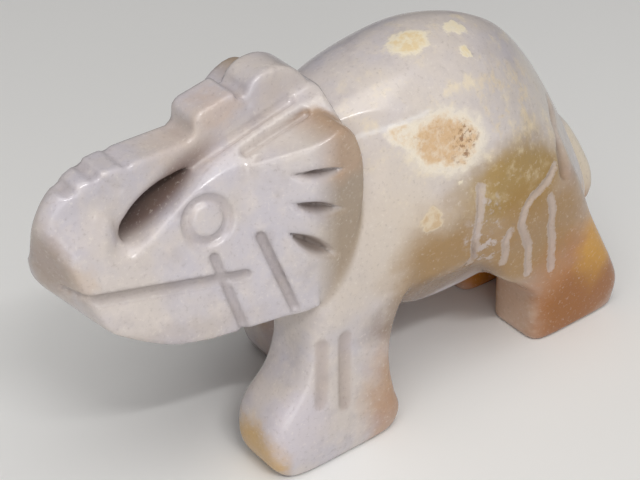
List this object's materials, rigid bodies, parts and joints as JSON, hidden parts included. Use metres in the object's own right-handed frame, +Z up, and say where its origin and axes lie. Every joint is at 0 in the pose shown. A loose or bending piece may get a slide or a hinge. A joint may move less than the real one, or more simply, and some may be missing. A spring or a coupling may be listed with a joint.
{
  "type": "stone elephant carving",
  "caption": "Small polished jasper elephant in mid-stride with its trunk curled back onto its forehead; a solid ornament that stands on its four feet.",
  "frame": {"origin": "on the ground, under the middle of the piece's bounding box", "axes": "+Z up; the head points along -X; the animal's left flank faces -Y"},
  "size_m": [0.0776, 0.025, 0.0463],
  "materials": {
    "jasper": "polished"
  },
  "bodies": {
    "root": {"elephant": "jasper"}
  },
  "joints": []
}
